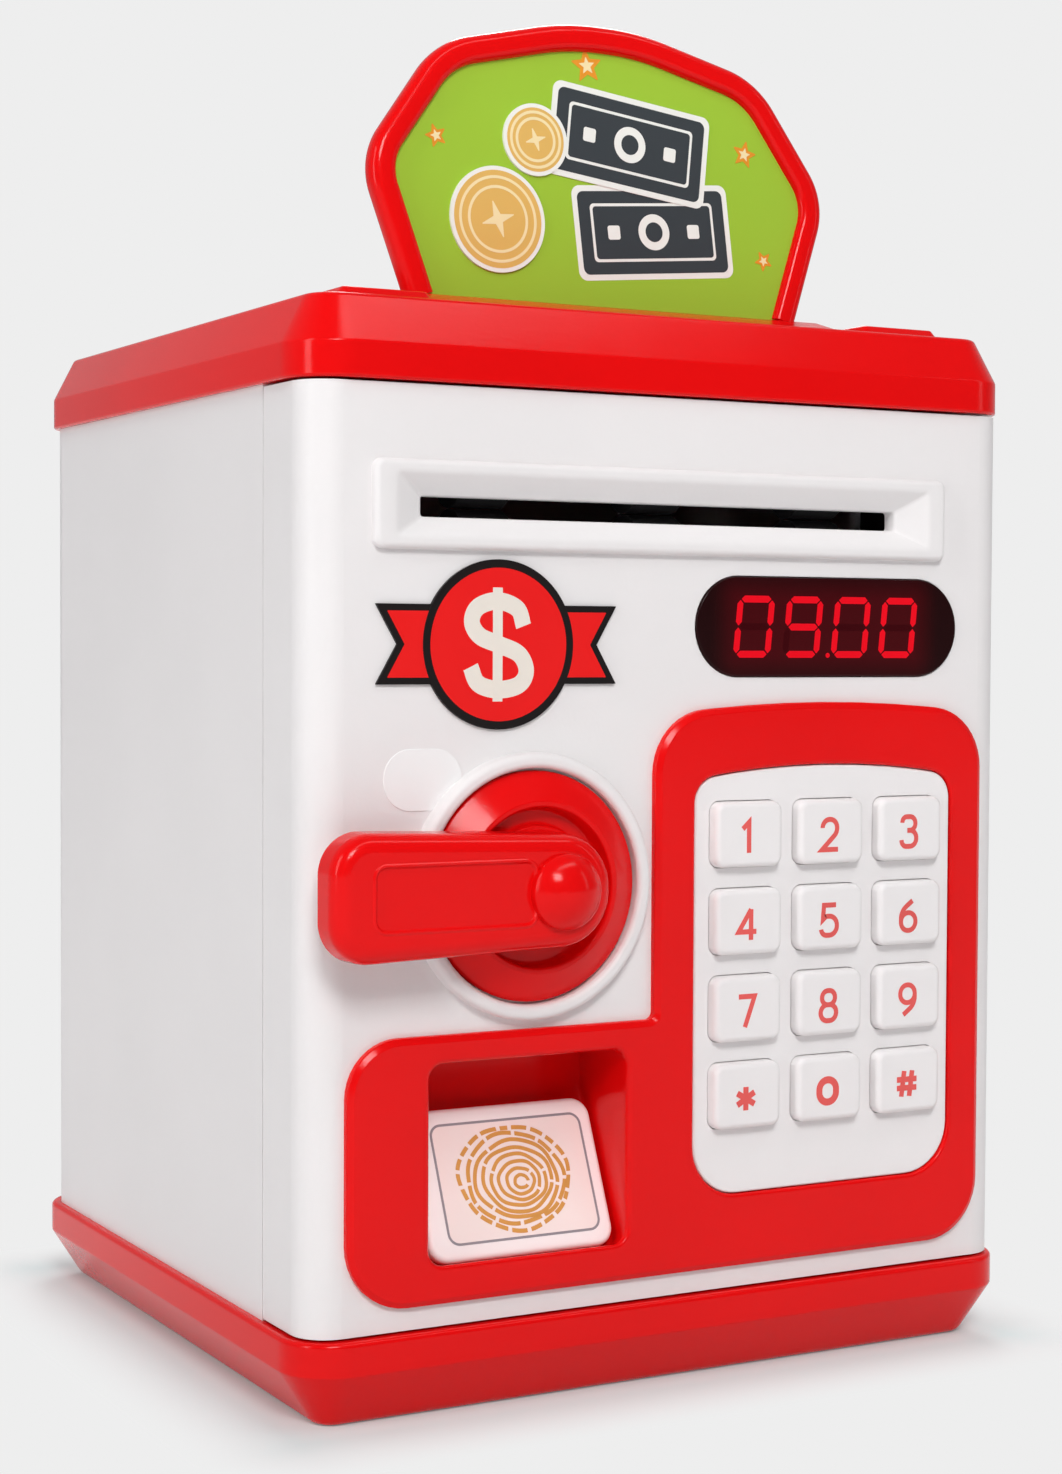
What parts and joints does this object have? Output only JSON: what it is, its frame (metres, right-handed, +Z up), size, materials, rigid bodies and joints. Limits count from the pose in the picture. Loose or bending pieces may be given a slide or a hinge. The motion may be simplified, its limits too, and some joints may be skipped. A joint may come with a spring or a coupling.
{
  "type": "toy cash machine safe bank",
  "caption": "Toy cash machine safe with a hinged front door, dial lever lock, push keypad, finger pad, note feed rollers, coin slot and plug-in sign.",
  "frame": {"origin": "centre of the base tray's underside, under the middle of the lid", "axes": "+Z up, front door faces -Y, +X to the right as seen from the front"},
  "size_m": [0.136, 0.1399, 0.2266],
  "materials": {
    "red_plastic": "glossy moulded",
    "white_plastic": "satin moulded",
    "key_plastic": "satin moulded",
    "green_plastic": "satin, printed",
    "steel": "zinc plated",
    "grey_rubber": "matte",
    "board": "lacquered board",
    "dark_window": "glossy tinted",
    "black_plastic": "matte",
    "cell_jacket": "glossy sleeve",
    "pad_plastic": "satin, printed",
    "black_rubber": "matte",
    "gear_plastic": "satin moulded",
    "brass": "machined"
  },
  "bodies": {
    "case": {"base_tray": "red_plastic", "rear_shell": "white_plastic", "lid": "red_plastic", "sign_frame": "red_plastic", "sign_panel": "green_plastic", "hinge_pins": "steel", "latch_strike": "steel", "case_screws": "steel", "lid_screws": "steel"},
    "door": {"door_shell": "white_plastic", "slot_bezel": "white_plastic", "red_panel": "red_plastic", "keypad_plate": "white_plastic", "keypad_membrane": "grey_rubber", "keypad_board": "board", "display_window": "dark_window", "display_block": "black_plastic", "badge": "red_plastic", "feed_frame": "black_plastic", "feed_motor": "steel", "inner_cover": "white_plastic", "battery_box": "white_plastic", "battery_cells": "cell_jacket", "battery_contacts": "steel", "battery_cover": "white_plastic", "speaker": "black_plastic", "lock_solenoid": "steel", "pad_switch": "black_plastic", "cover_screws": "steel"},
    "handle": {"dial": "red_plastic", "lever": "red_plastic", "lever_cap": "red_plastic", "handle_screws": "steel", "latch_arm": "steel"},
    "finger_pad": {"finger_pad": "pad_plastic"},
    "lock_plunger": {"lock_plunger": "steel"},
    "upper_roller": {"upper_feed_shaft": "steel", "upper_tyres": "black_rubber", "upper_gear": "gear_plastic"},
    "lower_roller": {"lower_feed_shaft": "steel", "lower_tyres": "black_rubber", "lower_gear": "gear_plastic"},
    "idler_gear": {"idler_gear": "gear_plastic"},
    "motor_pinion": {"motor_shaft": "steel", "motor_pinion": "brass"},
    "key_1": {"key_1": "key_plastic"},
    "key_2": {"key_2": "key_plastic"},
    "key_3": {"key_3": "key_plastic"},
    "key_4": {"key_4": "key_plastic"},
    "key_5": {"key_5": "key_plastic"},
    "key_6": {"key_6": "key_plastic"},
    "key_7": {"key_7": "key_plastic"},
    "key_8": {"key_8": "key_plastic"},
    "key_9": {"key_9": "key_plastic"},
    "key_star": {"key_star": "key_plastic"},
    "key_0": {"key_0": "key_plastic"},
    "key_hash": {"key_hash": "key_plastic"}
  },
  "joints": [
    {"name": "door_swing", "type": "hinge", "parent": "case", "child": "door", "pos_m": [0.0632, -0.0476, 0.015], "axis": [0, 0, 1], "range_deg": [0, 90]},
    {"name": "dial_turn", "type": "hinge", "parent": "door", "child": "handle", "pos_m": [-0.0281, -0.0614, 0.0831], "axis": [0, 1, 0], "range_deg": [0, 90]},
    {"name": "finger_pad_press", "type": "slide", "parent": "door", "child": "finger_pad", "axis": [0, 0.9135, -0.4067], "range_m": [0, 0.0009], "stiffness_N_per_m": 300},
    {"name": "lock_plunger_slide", "type": "slide", "parent": "door", "child": "lock_plunger", "axis": [0, 1, 0], "range_m": [0, 0.0052]},
    {"name": "upper_roller_turn", "type": "hinge", "parent": "door", "child": "upper_roller", "pos_m": [0, -0.0526, 0.14775], "axis": [1, 0, 0], "continuous": true},
    {"name": "lower_roller_turn", "type": "hinge", "parent": "door", "child": "lower_roller", "pos_m": [0, -0.0526, 0.13755], "axis": [1, 0, 0], "continuous": true},
    {"name": "idler_turn", "type": "hinge", "parent": "door", "child": "idler_gear", "pos_m": [-0.0536, -0.0526, 0.12705], "axis": [1, 0, 0], "continuous": true},
    {"name": "pinion_turn", "type": "hinge", "parent": "door", "child": "motor_pinion", "pos_m": [-0.0536, -0.0526, 0.11895], "axis": [1, 0, 0], "continuous": true},
    {"name": "key_1_press", "type": "slide", "parent": "door", "child": "key_1", "axis": [0, 1, 0], "range_m": [0, 0.0012], "stiffness_N_per_m": 300},
    {"name": "key_2_press", "type": "slide", "parent": "door", "child": "key_2", "axis": [0, 1, 0], "range_m": [0, 0.0012], "stiffness_N_per_m": 300},
    {"name": "key_3_press", "type": "slide", "parent": "door", "child": "key_3", "axis": [0, 1, 0], "range_m": [0, 0.0012], "stiffness_N_per_m": 300},
    {"name": "key_4_press", "type": "slide", "parent": "door", "child": "key_4", "axis": [0, 1, 0], "range_m": [0, 0.0012], "stiffness_N_per_m": 300},
    {"name": "key_5_press", "type": "slide", "parent": "door", "child": "key_5", "axis": [0, 1, 0], "range_m": [0, 0.0012], "stiffness_N_per_m": 300},
    {"name": "key_6_press", "type": "slide", "parent": "door", "child": "key_6", "axis": [0, 1, 0], "range_m": [0, 0.0012], "stiffness_N_per_m": 300},
    {"name": "key_7_press", "type": "slide", "parent": "door", "child": "key_7", "axis": [0, 1, 0], "range_m": [0, 0.0012], "stiffness_N_per_m": 300},
    {"name": "key_8_press", "type": "slide", "parent": "door", "child": "key_8", "axis": [0, 1, 0], "range_m": [0, 0.0012], "stiffness_N_per_m": 300},
    {"name": "key_9_press", "type": "slide", "parent": "door", "child": "key_9", "axis": [0, 1, 0], "range_m": [0, 0.0012], "stiffness_N_per_m": 300},
    {"name": "key_star_press", "type": "slide", "parent": "door", "child": "key_star", "axis": [0, 1, 0], "range_m": [0, 0.0012], "stiffness_N_per_m": 300},
    {"name": "key_0_press", "type": "slide", "parent": "door", "child": "key_0", "axis": [0, 1, 0], "range_m": [0, 0.0012], "stiffness_N_per_m": 300},
    {"name": "key_hash_press", "type": "slide", "parent": "door", "child": "key_hash", "axis": [0, 1, 0], "range_m": [0, 0.0012], "stiffness_N_per_m": 300}
  ],
  "couplings": [
    {"joint": "lower_roller_turn", "follows": "upper_roller_turn", "ratio": -1},
    {"joint": "idler_turn", "follows": "upper_roller_turn", "ratio": 0.94444},
    {"joint": "pinion_turn", "follows": "upper_roller_turn", "ratio": -1.8889}
  ]
}
